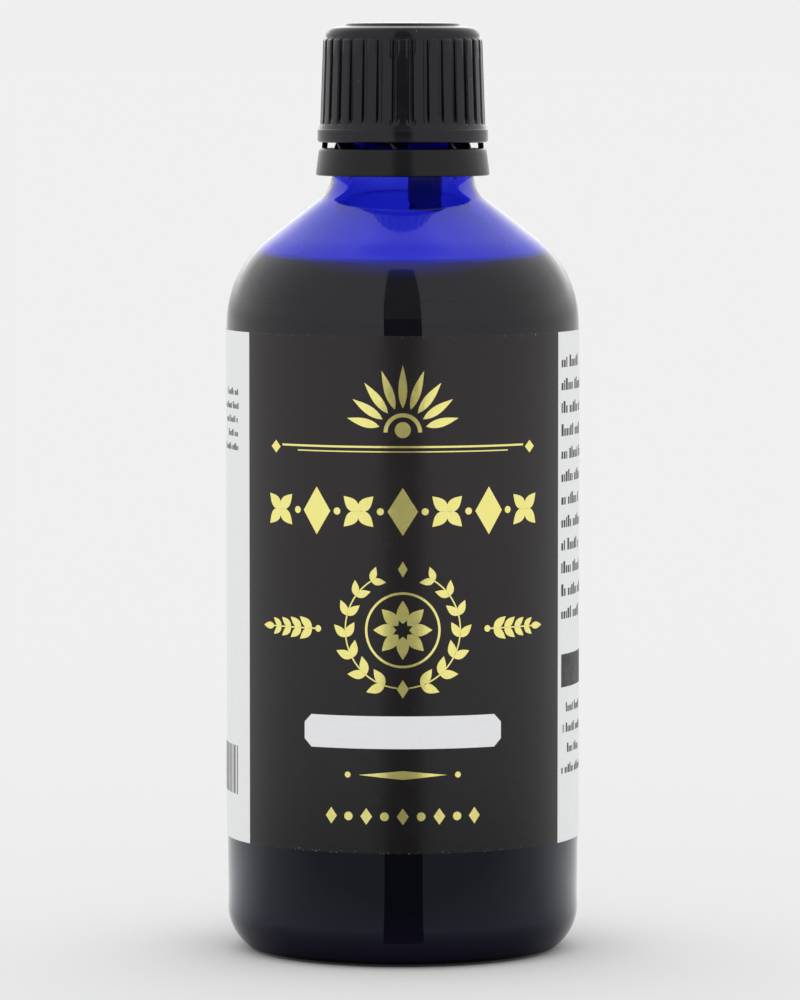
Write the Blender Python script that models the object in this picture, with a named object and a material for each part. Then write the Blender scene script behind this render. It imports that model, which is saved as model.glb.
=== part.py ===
"""Bitters bottle: blue glass dropper bottle with a ribbed tamper evident screw cap.

Metres, +Z up. The origin is the middle of the base, on the surface that the bottle stands on.
The front of the label faces -Y. Everything that turns does so about the Z axis.
"""

import math

import bmesh
import bpy

# Glass, outside: heel, straight side, shoulder and neck root
BODY_RADIUS = 0.0225
BODY_TOP_HEIGHT = 0.0802
HEEL_RADIUS = 0.00665
HEEL_SWEEP = math.radians(60.0)
BEARING_WIDTH = 0.0016
PUNT_DEPTH = 0.002
SHOULDER_RADIUS = 0.0137
SHOULDER_SLOPE = math.radians(52.5)
NECK_FILLET_RADIUS = 0.0042

# Glass, inside
WALL = 0.0024
BASE_THICKNESS = 0.004
FLOOR_CROWN = 0.001
INNER_HEEL_RADIUS = 0.005
BORE_RADIUS = 0.0056
BORE_LENGTH = 0.0098
BORE_CHAMFER = 0.0005

# Screw finish of the neck: collar, root of the thread and lip
COLLAR_RADIUS = 0.00903
COLLAR_TOP_HEIGHT = 0.00307
COLLAR_SLOPE_HEIGHT = 0.00145
THREAD_DEPTH = 0.00098
FINISH_HEIGHT = 0.01394
LIP_ROUNDING = 0.0006

# Tamper ring: a captive ring whose catch lies in a groove of the collar
RING_DROP = 0.00033
RING_CLEARANCE = 0.0003
RING_WALL = 0.00137
RING_HEIGHT = 0.0035
RING_ROUNDING = 0.0004
RING_FOOT_FLARE = 0.00037
RING_WAIST_FLARE = 0.00022
RING_WAIST_HEIGHT = 0.0016
CATCH_HOLD = 0.00028
CATCH_TIP_HEIGHT = 0.0004
CATCH_SLOPE_HEIGHT = 0.0002
CATCH_LIFT = 0.00136
GROOVE_PLAY = 0.0003

# Bridges that held the ring to the cap, torn off just short of the cap
BRIDGE_COUNT = 8
BRIDGE_FOOT_WIDTH = 0.00052
BRIDGE_TIP_WIDTH = 0.00036
BRIDGE_DEPTH = 0.0007
BRIDGE_SETBACK = 0.00035
BRIDGE_LEAN = 0.0006
BRIDGE_TURN = math.radians(-4.8)
TEAR_LINE_HEIGHT = 0.00072
TEAR_CLEARANCE = 0.0003

# Dropper insert pressed into the bore
PLUG_CLEARANCE = 0.0003
PLUG_WALL = 0.0009
PLUG_LENGTH = 0.0084
PLUG_RIB_DEPTH = 0.0002
PLUG_RIB_HEIGHT = 0.0007
PLUG_RIB_SPACING = 0.0022
PLUG_RIB_COUNT = 3
PLUG_CHAMFER = 0.0003
FLANGE_SETBACK = 0.00045
FLANGE_THICKNESS = 0.0013
FLANGE_RIM_WIDTH = 0.0007
FLANGE_ROUNDING = 0.00025
RECESS_DEPTH = 0.0007
PLATE_THICKNESS = 0.0011
NOZZLE_OFFSET = 0.0019
NOZZLE_FOOT_RADIUS = 0.0016
NOZZLE_TIP_RADIUS = 0.0011
NOZZLE_BORE_RADIUS = 0.0006
AIR_TUBE_OFFSET = 0.00285
AIR_TUBE_RADIUS = 0.00218
AIR_TUBE_BORE_RADIUS = 0.0013
AIR_TUBE_LENGTH = 0.0199
AIR_HOLE_RADIUS = 0.0005

# Sealing disc in the crown of the cap
LINER_CLEARANCE = 0.0003
LINER_THICKNESS = 0.0011
LINER_SETBACK = 0.0004

# Cap: bead, ribs, rim and raised disc
CAP_CLEARANCE = 0.00027
CAP_RIM_WALL = 0.0005
CAP_DRAFT = 0.00015
CAP_FOOT_CHAMFER = 0.0003
CAP_BEAD_PROUD = 0.00038
CAP_BEAD_HEIGHT = 0.00175
CAP_BEAD_ROUNDING = 0.0003
CAP_BEAD_SLOPE_HEIGHT = 0.00095
CAP_CROWN_THICKNESS = 0.0014
CAP_RIM_ROUNDING = 0.0011
CAP_RIM_HEIGHT = 0.00125
RIB_COUNT = 32
RIB_FOOT_DEPTH = 0.00055
RIB_TOP_DEPTH = 0.00031
RIB_RUN_OUT_HEIGHT = 0.0003
LINER_HOLD = 0.0005
LINER_BEAD_HEIGHT = 0.0005
DISC_SETBACK = 0.0022
DISC_EDGE_WIDTH = 0.0003
DISC_EDGE_HEIGHT = 0.00035
DISC_CROWN = 0.00025

# Label round the straight side
LABEL_GAP = 0.00005
LABEL_THICKNESS = 0.0001
LABEL_FOOT_MARGIN = 0.00894
LABEL_TOP_MARGIN = 0.0007
LABEL_SEAM_WIDTH = 0.003

# Liquid
LIQUID_CLEARANCE = 0.0003
ULLAGE_HEIGHT = 0.01181

# Cuts run past the surface that they open by this much, and points nearer than the last are one
OVERRUN = 0.0005
MERGE_DISTANCE = 0.000001

# How much of a rib's pitch its crest and its two flanks take, and where the disc's dome bends
RIB_CREST_SHARE = 0.62
RIB_FLANK_SHARE = 0.09
DOME_SHARE = 0.55
DOME_RISE_SHARE = 0.75

# Facets round the axis, and along each rounded part of an outline
BODY_SEGMENTS = 48
CLOSURE_SEGMENTS = 48
INSERT_SEGMENTS = 32
HOLE_SEGMENTS = 16
HEEL_STEPS = 4
SHOULDER_STEPS = 6
INNER_SHOULDER_STEPS = 5
NECK_FILLET_STEPS = 4
INNER_FILLET_STEPS = 3
RIM_STEPS = 3
ROUNDING_STEPS = 2
SHARP_ANGLE = math.radians(35.0)
FRONT = math.radians(-90.0)
FULL_TURN = 2.0 * math.pi

# Places that follow from the sizes
BASE_HEIGHT = 0.0
HEEL_TOP_HEIGHT = HEEL_RADIUS * math.sin(HEEL_SWEEP)
BEARING_RADIUS = BODY_RADIUS - HEEL_RADIUS * (1.0 - math.cos(HEEL_SWEEP))
SHOULDER_DROP = SHOULDER_RADIUS * (1.0 - math.cos(SHOULDER_SLOPE))
FILLET_DROP = NECK_FILLET_RADIUS * (1.0 - math.cos(SHOULDER_SLOPE))
CONE_RUN = BODY_RADIUS - SHOULDER_DROP - COLLAR_RADIUS - FILLET_DROP
CONE_HEIGHT = CONE_RUN / math.tan(SHOULDER_SLOPE)
ARCS_HEIGHT = (SHOULDER_RADIUS + NECK_FILLET_RADIUS) * math.sin(SHOULDER_SLOPE)
NECK_START_HEIGHT = BODY_TOP_HEIGHT + ARCS_HEIGHT + CONE_HEIGHT
LIP_HEIGHT = NECK_START_HEIGHT + FINISH_HEIGHT
THREAD_ROOT_RADIUS = COLLAR_RADIUS - THREAD_DEPTH

RING_INNER_RADIUS = COLLAR_RADIUS + RING_CLEARANCE
RING_OUTER_RADIUS = RING_INNER_RADIUS + RING_WALL
CATCH_RADIUS = COLLAR_RADIUS - CATCH_HOLD
RING_FOOT_HEIGHT = NECK_START_HEIGHT - RING_DROP
CAP_FOOT_HEIGHT = RING_FOOT_HEIGHT + RING_HEIGHT + TEAR_LINE_HEIGHT

FLANGE_FOOT_HEIGHT = LIP_HEIGHT + PLUG_CLEARANCE
FLANGE_RADIUS = THREAD_ROOT_RADIUS - FLANGE_SETBACK
LINER_FOOT_HEIGHT = FLANGE_FOOT_HEIGHT + FLANGE_THICKNESS + LINER_CLEARANCE

CAP_BORE_RADIUS = COLLAR_RADIUS + CAP_CLEARANCE
CAP_CROWN_HEIGHT = LINER_FOOT_HEIGHT + LINER_THICKNESS + LINER_CLEARANCE
CAP_TOP_HEIGHT = CAP_CROWN_HEIGHT + CAP_CROWN_THICKNESS
CAP_RIM_RADIUS = CAP_BORE_RADIUS + CAP_RIM_WALL

LABEL_FOOT_HEIGHT = HEEL_TOP_HEIGHT + LABEL_FOOT_MARGIN
LABEL_TOP_HEIGHT = BODY_TOP_HEIGHT - LABEL_TOP_MARGIN
LIQUID_HEIGHT = NECK_START_HEIGHT - ULLAGE_HEIGHT


def remove_everything():
    """Empty the file without closing it."""
    for thing in list(bpy.data.objects):
        bpy.data.objects.remove(thing, do_unlink=True)


def simple_material(name, color, roughness, ior=1.5, transmission=0.0):
    """A Principled material of one colour."""
    material = bpy.data.materials.new(name)
    material.use_nodes = True
    shader = material.node_tree.nodes["Principled BSDF"]
    shader.inputs["Base Color"].default_value = (*color, 1.0)
    shader.inputs["Roughness"].default_value = roughness
    shader.inputs["IOR"].default_value = ior
    shader.inputs["Transmission Weight"].default_value = transmission
    material.diffuse_color = (*color, 1.0)
    return material


def arc(radius, height, curve, start, sweep, steps):
    """Points (radius, height) along a circle about (radius, height), from start through sweep."""
    angles = [start + sweep * step / steps for step in range(steps + 1)]
    return [(radius + curve * math.cos(a), height + curve * math.sin(a)) for a in angles]


def polar(radius, angle, height):
    """A point at a radius and an angle round the axis."""
    return (radius * math.cos(angle), radius * math.sin(angle), height)


def add_object(name, mesh, material=None, parent=None, height=0.0):
    """Put a mesh in the scene, with its origin on the bottle's axis at the given height."""
    thing = bpy.data.objects.new(name, mesh)
    bpy.context.collection.objects.link(thing)
    thing.location.z = height
    if parent is not None:
        thing.parent = parent
    if material is not None:
        mesh.materials.append(material)
    mesh.shade_smooth()
    mesh.set_sharp_from_angle(angle=SHARP_ANGLE)
    return thing


def add_joiner(name, mesh, target, operation, height=0.0):
    """A hidden guide that is joined to, or cut from, the target by a Boolean."""
    guide = add_object(name, mesh, parent=target, height=height)
    guide.hide_render = True
    guide.display_type = "WIRE"
    modifier = target.modifiers.new(name, "BOOLEAN")
    modifier.operation = operation
    modifier.solver = "EXACT"
    modifier.object = guide
    return guide


def finish_mesh(name, build):
    """Weld near points, turn the faces outwards and give back a mesh."""
    bmesh.ops.remove_doubles(build, verts=build.verts, dist=MERGE_DISTANCE)
    bmesh.ops.recalc_face_normals(build, faces=build.faces)
    mesh = bpy.data.meshes.new(name)
    build.to_mesh(mesh)
    build.free()
    return mesh


def turned(name, outline, segments, closed=False, offset=0.0):
    """Spin an outline of (radius, height) points about a vertical axis at x = offset."""
    build = bmesh.new()
    corners = [build.verts.new((offset + radius, 0.0, height)) for radius, height in outline]
    pairs = list(zip(corners, corners[1:]))
    if closed:
        pairs.append((corners[-1], corners[0]))
    edges = [build.edges.new(pair) for pair in pairs]
    bmesh.ops.spin(
        build,
        geom=corners + edges,
        cent=(offset, 0.0, 0.0),
        axis=(0.0, 0.0, 1.0),
        angle=FULL_TURN,
        steps=segments,
        use_merge=True,
    )
    return finish_mesh(name, build)


def joined(name, meshes):
    """One mesh that holds several closed bodies which lie apart."""
    build = bmesh.new()
    for mesh in meshes:
        build.from_mesh(mesh)
        bpy.data.meshes.remove(mesh)
    return finish_mesh(name, build)


def shoulder_arc(inset, steps):
    """The convex shoulder, moved into the glass by inset, from the straight side upwards."""
    centre = BODY_RADIUS - SHOULDER_RADIUS
    return arc(centre, BODY_TOP_HEIGHT, SHOULDER_RADIUS - inset, 0.0, SHOULDER_SLOPE, steps)


def fillet_arc(inset, steps):
    """The concave root of the neck, moved into the glass by inset, upwards."""
    centre = COLLAR_RADIUS + NECK_FILLET_RADIUS
    start = math.pi + SHOULDER_SLOPE
    curve = NECK_FILLET_RADIUS + inset
    return arc(centre, NECK_START_HEIGHT, curve, start, -SHOULDER_SLOPE, steps)


def shoulder_radius_at(height, inset):
    """The radius of the shoulder, moved into the glass by inset, at a height on it."""
    cone_foot_radius, cone_foot_height = shoulder_arc(inset, 1)[-1]
    cone_top_radius, cone_top_height = fillet_arc(inset, 1)[0]
    if height <= cone_foot_height:
        centre = BODY_RADIUS - SHOULDER_RADIUS
        above = height - BODY_TOP_HEIGHT
        return centre + math.sqrt((SHOULDER_RADIUS - inset) ** 2 - above**2)
    if height <= cone_top_height:
        share = (height - cone_foot_height) / (cone_top_height - cone_foot_height)
        return cone_foot_radius + share * (cone_top_radius - cone_foot_radius)
    below = NECK_START_HEIGHT - height
    centre = COLLAR_RADIUS + NECK_FILLET_RADIUS
    return centre - math.sqrt((NECK_FILLET_RADIUS + inset) ** 2 - below**2)


def dome(radius, edge_height, rise, steps):
    """Points of a shallow dome from its edge to the axis, without the edge point."""
    sphere = (radius**2 + rise**2) / (2.0 * rise)
    points = []
    for step in range(1, steps + 1):
        across = radius * (1.0 - step / steps)
        height = edge_height + rise - (sphere - math.sqrt(sphere**2 - across**2))
        points.append((across, height))
    return points


def inside_foot(inset, lift, steps):
    """Floor and inner heel of the hollow, from the axis to the side, moved in by inset."""
    floor = BASE_THICKNESS + lift
    curve = INNER_HEEL_RADIUS - inset + WALL
    flat_radius = BODY_RADIUS - WALL - INNER_HEEL_RADIUS
    crown = dome(flat_radius, floor, FLOOR_CROWN, steps)
    heel = arc(flat_radius, floor + curve, curve, -math.pi / 2.0, math.pi / 2.0, steps)
    return crown[::-1] + heel


def make_glass_bottle(material):
    groove_middle = RING_FOOT_HEIGHT + CATCH_LIFT
    tip_half = CATCH_TIP_HEIGHT / 2.0 + GROOVE_PLAY
    mouth_half = tip_half + CATCH_SLOPE_HEIGHT + GROOVE_PLAY
    groove_radius = CATCH_RADIUS - GROOVE_PLAY
    collar_top = NECK_START_HEIGHT + COLLAR_TOP_HEIGHT
    bore_foot = LIP_HEIGHT - BORE_LENGTH
    punt_radius = BEARING_RADIUS - BEARING_WIDTH
    lip_start = LIP_HEIGHT - LIP_ROUNDING
    lip_curve = THREAD_ROOT_RADIUS - LIP_ROUNDING

    outline = dome(punt_radius, BASE_HEIGHT, PUNT_DEPTH, HEEL_STEPS)[::-1]
    outline += [(punt_radius, BASE_HEIGHT), (BEARING_RADIUS, BASE_HEIGHT)]
    heel_middle = BODY_RADIUS - HEEL_RADIUS
    outline += arc(heel_middle, HEEL_TOP_HEIGHT, HEEL_RADIUS, -HEEL_SWEEP, HEEL_SWEEP, HEEL_STEPS)[1:]
    outline += shoulder_arc(0.0, SHOULDER_STEPS)
    outline += fillet_arc(0.0, NECK_FILLET_STEPS)
    outline += [
        (COLLAR_RADIUS, groove_middle - mouth_half),
        (groove_radius, groove_middle - tip_half),
        (groove_radius, groove_middle + tip_half),
        (COLLAR_RADIUS, groove_middle + mouth_half),
        (COLLAR_RADIUS, collar_top),
        (THREAD_ROOT_RADIUS, collar_top + COLLAR_SLOPE_HEIGHT),
    ]
    outline += arc(lip_curve, lip_start, LIP_ROUNDING, 0.0, math.pi / 2.0, ROUNDING_STEPS)
    outline += [
        (BORE_RADIUS + BORE_CHAMFER, LIP_HEIGHT),
        (BORE_RADIUS, LIP_HEIGHT - BORE_CHAMFER),
        (BORE_RADIUS, bore_foot),
    ]
    outline += fillet_arc(WALL, INNER_FILLET_STEPS)[::-1]
    outline += shoulder_arc(WALL, INNER_SHOULDER_STEPS)[::-1]
    outline += inside_foot(WALL, 0.0, HEEL_STEPS)[::-1]
    mesh = turned("glass_bottle", outline, BODY_SEGMENTS)
    return add_object("glass_bottle", mesh, material)


def make_bitters_liquid(material):
    inset = WALL + LIQUID_CLEARANCE
    outline = inside_foot(inset, LIQUID_CLEARANCE, HEEL_STEPS)
    shoulder = shoulder_arc(inset, INNER_SHOULDER_STEPS)
    outline += [point for point in shoulder if point[1] < LIQUID_HEIGHT]
    outline += [(shoulder_radius_at(LIQUID_HEIGHT, inset), LIQUID_HEIGHT), (0.0, LIQUID_HEIGHT)]
    mesh = turned("bitters_liquid", outline, BODY_SEGMENTS)
    return add_object("bitters_liquid", mesh, material)


def make_wrap_label(material):
    """A strip bent round the straight side, with its seam at the back."""
    radius = BODY_RADIUS + LABEL_GAP
    reach = math.pi - LABEL_SEAM_WIDTH / (2.0 * radius)
    facet = FULL_TURN / BODY_SEGMENTS
    whole_facets = int(reach / facet)
    angles = [facet * step for step in range(-whole_facets, whole_facets + 1)]
    angles = [-reach] + angles + [reach]
    build = bmesh.new()
    rows = []
    for height in (LABEL_FOOT_HEIGHT, LABEL_TOP_HEIGHT):
        rows.append([build.verts.new(polar(radius, FRONT + a, height)) for a in angles])
    low, high = rows
    for left in range(len(angles) - 1):
        right = left + 1
        build.faces.new((low[left], low[right], high[right], high[left]))
    mesh = finish_mesh("wrap_label", build)
    label = add_object("wrap_label", mesh, material)
    thick = label.modifiers.new("paper", "SOLIDIFY")
    thick.thickness = LABEL_THICKNESS
    thick.offset = 1.0
    return label


def make_bridges():
    """Slanted tapering stubs on top of the ring, as separate bodies in one mesh."""
    outer = RING_OUTER_RADIUS - BRIDGE_SETBACK
    inner = outer - BRIDGE_DEPTH
    foot = RING_HEIGHT - OVERRUN
    tip = RING_HEIGHT + TEAR_LINE_HEIGHT - TEAR_CLEARANCE
    build = bmesh.new()
    for number in range(BRIDGE_COUNT):
        middle = FRONT + BRIDGE_TURN + FULL_TURN * number / BRIDGE_COUNT
        corners = []
        ends = ((foot, BRIDGE_FOOT_WIDTH, 0.0), (tip, BRIDGE_TIP_WIDTH, BRIDGE_LEAN))
        for height, width, lean in ends:
            centre = middle - lean / outer
            half = width / (2.0 * outer)
            places = ((inner, -half), (outer, -half), (outer, half), (inner, half))
            corners.append([build.verts.new(polar(r, centre + a, height)) for r, a in places])
        low, high = corners
        build.faces.new(low[::-1])
        build.faces.new(high)
        for left in range(4):
            right = (left + 1) % 4
            build.faces.new((low[left], low[right], high[right], high[left]))
    return finish_mesh("ring_bridges", build)


def make_tamper_ring(material, parent):
    catch_half = CATCH_TIP_HEIGHT / 2.0
    catch_foot = CATCH_LIFT - catch_half - CATCH_SLOPE_HEIGHT
    catch_top = CATCH_LIFT + catch_half + CATCH_SLOPE_HEIGHT
    round_middle = RING_OUTER_RADIUS - RING_ROUNDING
    outline = [
        (RING_INNER_RADIUS, 0.0),
        (RING_OUTER_RADIUS + RING_FOOT_FLARE - RING_ROUNDING / 2.0, 0.0),
        (RING_OUTER_RADIUS + RING_FOOT_FLARE, RING_ROUNDING / 2.0),
        (RING_OUTER_RADIUS + RING_WAIST_FLARE, RING_WAIST_HEIGHT),
    ]
    round_height = RING_HEIGHT - RING_ROUNDING
    outline += arc(round_middle, round_height, RING_ROUNDING, 0.0, math.pi / 2.0, ROUNDING_STEPS)
    outline += [
        (RING_INNER_RADIUS, RING_HEIGHT),
        (RING_INNER_RADIUS, catch_top),
        (CATCH_RADIUS, CATCH_LIFT + catch_half),
        (CATCH_RADIUS, CATCH_LIFT - catch_half),
        (RING_INNER_RADIUS, catch_foot),
    ]
    mesh = turned("tamper_ring", outline, CLOSURE_SEGMENTS, closed=True)
    ring = add_object("tamper_ring", mesh, material, parent)
    add_joiner("ring_bridges", make_bridges(), ring, "UNION")
    return ring


def make_dropper_insert(material, parent):
    """Flange, plug skirt with sealing ribs, off centre air tube and nozzle, in local heights."""
    plug_radius = BORE_RADIUS - PLUG_CLEARANCE
    valley_radius = plug_radius - PLUG_RIB_DEPTH
    skirt_radius = plug_radius - PLUG_WALL
    plate_top = FLANGE_THICKNESS - RECESS_DEPTH
    plate_foot = plate_top - PLATE_THICKNESS
    rim_radius = FLANGE_RADIUS - FLANGE_RIM_WIDTH
    round_middle = FLANGE_RADIUS - FLANGE_ROUNDING
    outline = [
        (0.0, plate_foot),
        (skirt_radius, plate_foot),
        (skirt_radius, -PLUG_LENGTH),
        (valley_radius - PLUG_CHAMFER, -PLUG_LENGTH),
        (valley_radius, -PLUG_LENGTH + PLUG_CHAMFER),
    ]
    for number in range(PLUG_RIB_COUNT):
        middle = (number - PLUG_RIB_COUNT) * PLUG_RIB_SPACING
        for radius, height in (
            (valley_radius, middle - PLUG_RIB_HEIGHT / 2.0),
            (plug_radius, middle),
            (valley_radius, middle + PLUG_RIB_HEIGHT / 2.0),
        ):
            outline.append((radius, height))
    outline += [(valley_radius, 0.0), (FLANGE_RADIUS, 0.0)]
    round_height = FLANGE_THICKNESS - FLANGE_ROUNDING
    outline += arc(round_middle, round_height, FLANGE_ROUNDING, 0.0, math.pi / 2.0, ROUNDING_STEPS)
    outline += [(rim_radius, FLANGE_THICKNESS), (rim_radius, plate_top), (0.0, plate_top)]
    mesh = turned("dropper_insert", outline, INSERT_SEGMENTS)
    insert = add_object("dropper_insert", mesh, material, parent, FLANGE_FOOT_HEIGHT - RING_FOOT_HEIGHT)

    tube_top = plate_top - PLATE_THICKNESS / 2.0
    tube_foot = -AIR_TUBE_LENGTH
    tube = [(0.0, tube_foot), (AIR_TUBE_RADIUS, tube_foot), (AIR_TUBE_RADIUS, tube_top), (0.0, tube_top)]
    nozzle = [
        (0.0, tube_top),
        (NOZZLE_FOOT_RADIUS, tube_top),
        (NOZZLE_FOOT_RADIUS, plate_top),
        (NOZZLE_TIP_RADIUS, FLANGE_THICKNESS),
        (0.0, FLANGE_THICKNESS),
    ]
    tube_mesh = turned("air_tube", tube, HOLE_SEGMENTS, offset=AIR_TUBE_OFFSET)
    nozzle_mesh = turned("nozzle", nozzle, HOLE_SEGMENTS, offset=-NOZZLE_OFFSET)
    add_joiner("insert_tubes", joined("insert_tubes", [tube_mesh, nozzle_mesh]), insert, "UNION")

    above = FLANGE_THICKNESS + OVERRUN
    below = plate_foot - OVERRUN
    air_way = [
        (0.0, tube_foot - OVERRUN),
        (AIR_TUBE_BORE_RADIUS, tube_foot - OVERRUN),
        (AIR_TUBE_BORE_RADIUS, plate_foot),
        (AIR_HOLE_RADIUS, plate_foot),
        (AIR_HOLE_RADIUS, above),
        (0.0, above),
    ]
    nozzle_way = [(0.0, below), (NOZZLE_BORE_RADIUS, below), (NOZZLE_BORE_RADIUS, above), (0.0, above)]
    air_mesh = turned("air_way", air_way, HOLE_SEGMENTS, offset=AIR_TUBE_OFFSET)
    way_mesh = turned("nozzle_way", nozzle_way, HOLE_SEGMENTS, offset=-NOZZLE_OFFSET)
    add_joiner("insert_ways", joined("insert_ways", [air_mesh, way_mesh]), insert, "DIFFERENCE")
    return insert


def make_cap_liner(material, parent):
    radius = CAP_BORE_RADIUS - LINER_SETBACK
    outline = [(0.0, 0.0), (radius, 0.0), (radius, LINER_THICKNESS), (0.0, LINER_THICKNESS)]
    mesh = turned("cap_liner", outline, INSERT_SEGMENTS)
    return add_object("cap_liner", mesh, material, parent, LINER_FOOT_HEIGHT - RING_FOOT_HEIGHT)


def cap_stations():
    """(crest radius, valley radius, height) from the middle of the crown, down, and up outside."""
    crown = CAP_CROWN_HEIGHT - CAP_FOOT_HEIGHT
    top = CAP_TOP_HEIGHT - CAP_FOOT_HEIGHT
    bead_middle = LINER_FOOT_HEIGHT - LINER_CLEARANCE - CAP_FOOT_HEIGHT
    bead_tip = CAP_BORE_RADIUS - LINER_HOLD
    valley_foot = CAP_RIM_RADIUS + CAP_DRAFT
    crest_foot = valley_foot + RIB_FOOT_DEPTH
    crest_top = CAP_RIM_RADIUS + RIB_TOP_DEPTH
    bead = crest_foot + CAP_BEAD_PROUD
    rib_foot = CAP_BEAD_HEIGHT + CAP_BEAD_SLOPE_HEIGHT
    rib_top = top - CAP_RIM_HEIGHT
    disc = CAP_RIM_RADIUS - DISC_SETBACK

    inside = [
        (0.0, crown),
        (CAP_BORE_RADIUS, crown),
        (CAP_BORE_RADIUS, bead_middle + LINER_BEAD_HEIGHT / 2.0),
        (bead_tip, bead_middle),
        (CAP_BORE_RADIUS, bead_middle - LINER_BEAD_HEIGHT / 2.0),
        (CAP_BORE_RADIUS, CAP_FOOT_CHAMFER),
        (CAP_BORE_RADIUS + CAP_FOOT_CHAMFER, 0.0),
        (bead - CAP_BEAD_ROUNDING, 0.0),
        (bead, CAP_BEAD_ROUNDING),
        (bead, CAP_BEAD_HEIGHT),
        (crest_foot, rib_foot),
    ]
    stations = [(radius, radius, height) for radius, height in inside]
    stations += [
        (crest_foot, valley_foot, rib_foot + RIB_RUN_OUT_HEIGHT),
        (crest_top, CAP_RIM_RADIUS, rib_top),
    ]
    rim_middle = CAP_RIM_RADIUS - CAP_RIM_ROUNDING
    rim = [(CAP_RIM_RADIUS, rib_top + RIB_RUN_OUT_HEIGHT)]
    rim_round_height = top - CAP_RIM_ROUNDING
    rim += arc(rim_middle, rim_round_height, CAP_RIM_ROUNDING, 0.0, math.pi / 2.0, RIM_STEPS)[1:]
    rim += [
        (disc, top),
        (disc - DISC_EDGE_WIDTH, top + DISC_EDGE_HEIGHT),
        (disc * DOME_SHARE, top + DISC_EDGE_HEIGHT + DISC_CROWN * DOME_RISE_SHARE),
        (0.0, top + DISC_EDGE_HEIGHT + DISC_CROWN),
    ]
    return stations + [(radius, radius, height) for radius, height in rim]


def make_cap_shell(material, parent):
    """Loft the ribbed shell through rings whose points lie on rib crests and valleys by turns."""
    pitch = FULL_TURN / RIB_COUNT
    crest = pitch * RIB_CREST_SHARE / 2.0
    foot = crest + pitch * RIB_FLANK_SHARE
    build = bmesh.new()
    rings = []
    for crest_radius, valley_radius, height in cap_stations():
        if crest_radius == 0.0:
            rings.append([build.verts.new((0.0, 0.0, height))] * 4 * RIB_COUNT)
            continue
        ring = []
        for number in range(RIB_COUNT):
            middle = FRONT + pitch * number
            ring.append(build.verts.new(polar(valley_radius, middle - foot, height)))
            ring.append(build.verts.new(polar(crest_radius, middle - crest, height)))
            ring.append(build.verts.new(polar(crest_radius, middle + crest, height)))
            ring.append(build.verts.new(polar(valley_radius, middle + foot, height)))
        rings.append(ring)
    for low, high in zip(rings, rings[1:]):
        for left in range(len(low)):
            right = (left + 1) % len(low)
            corners = dict.fromkeys((low[left], low[right], high[right], high[left]))
            build.faces.new(tuple(corners))
    mesh = finish_mesh("cap_shell", build)
    return add_object("cap_shell", mesh, material, parent, CAP_FOOT_HEIGHT - RING_FOOT_HEIGHT)


def make_neck_axis():
    """The line that cap, liner, insert and ring share, set at the foot of the ring."""
    axis = bpy.data.objects.new("neck_axis", None)
    bpy.context.collection.objects.link(axis)
    axis.location.z = RING_FOOT_HEIGHT
    return axis


def main():
    remove_everything()
    blue_glass = simple_material("blue_glass", (0.012, 0.016, 0.45), 0.03, ior=1.52, transmission=0.9)
    dark_bitters = simple_material("dark_bitters", (0.012, 0.008, 0.007), 0.05, ior=1.36)
    label_paper = simple_material("label_paper", (0.035, 0.033, 0.034), 0.5)
    natural_plastic = simple_material("natural_plastic", (0.75, 0.76, 0.74), 0.35)
    foam = simple_material("foam", (0.85, 0.85, 0.83), 0.9)
    black_plastic = simple_material("black_plastic", (0.018, 0.018, 0.02), 0.3)
    ring_plastic = simple_material("ring_plastic", (0.018, 0.018, 0.02), 0.34)

    neck_axis = make_neck_axis()
    make_glass_bottle(blue_glass)
    make_bitters_liquid(dark_bitters)
    make_wrap_label(label_paper)
    make_dropper_insert(natural_plastic, neck_axis)
    make_tamper_ring(ring_plastic, neck_axis)
    make_cap_liner(foam, neck_axis)
    make_cap_shell(black_plastic, neck_axis)


main()
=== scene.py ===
import math

import bmesh
import bpy
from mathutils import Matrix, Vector, noise


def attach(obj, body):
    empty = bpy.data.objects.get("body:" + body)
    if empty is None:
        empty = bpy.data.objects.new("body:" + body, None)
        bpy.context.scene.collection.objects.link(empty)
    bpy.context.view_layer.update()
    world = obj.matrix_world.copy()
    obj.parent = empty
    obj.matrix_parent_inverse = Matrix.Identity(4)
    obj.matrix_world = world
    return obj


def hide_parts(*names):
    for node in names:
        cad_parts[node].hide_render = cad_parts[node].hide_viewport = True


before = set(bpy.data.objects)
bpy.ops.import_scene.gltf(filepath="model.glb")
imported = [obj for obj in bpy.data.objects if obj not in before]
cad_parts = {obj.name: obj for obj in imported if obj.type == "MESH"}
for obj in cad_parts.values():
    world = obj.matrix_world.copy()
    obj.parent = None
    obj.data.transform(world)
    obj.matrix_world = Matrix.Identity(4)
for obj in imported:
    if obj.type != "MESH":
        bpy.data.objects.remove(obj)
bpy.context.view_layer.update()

# Sizes are in millimetres and heights are above the base. Angles are in degrees, apart from directions
# round the bottle's axis, which are in radians.
MM = 0.001
TAU = 2.0 * math.pi
FRONT = -TAU / 4.0
SHARP_ANGLE = 38.0

# Glass
BODY_RADIUS = 22.5
BODY_TOP = 80.2
HEEL_RADIUS = 6.65
HEEL_TOP = 5.759
PUNT_RADIUS = 17.3
PUNT_DEPTH = 2.0
SHOULDER_RADIUS = 13.7
SHOULDER_SLOPE = 52.5
CONE_BOW = 0.2
FILLET_RADIUS = 4.2
NECK_START = 99.363
COLLAR_RADIUS = 9.03
ROOT_RADIUS = 8.05
LIP_HEIGHT = 113.3
WALL = 2.4
BORE_RADIUS = BODY_RADIUS - WALL
FLOOR_EDGE = 4.0
FLOOR_DOME = 1.0
INNER_HEEL_RADIUS = 5.0
INNER_HEEL_TOP = FLOOR_EDGE + INNER_HEEL_RADIUS
NECK_BORE_RADIUS = 5.6
NECK_BORE_FOOT = 103.5

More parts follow.
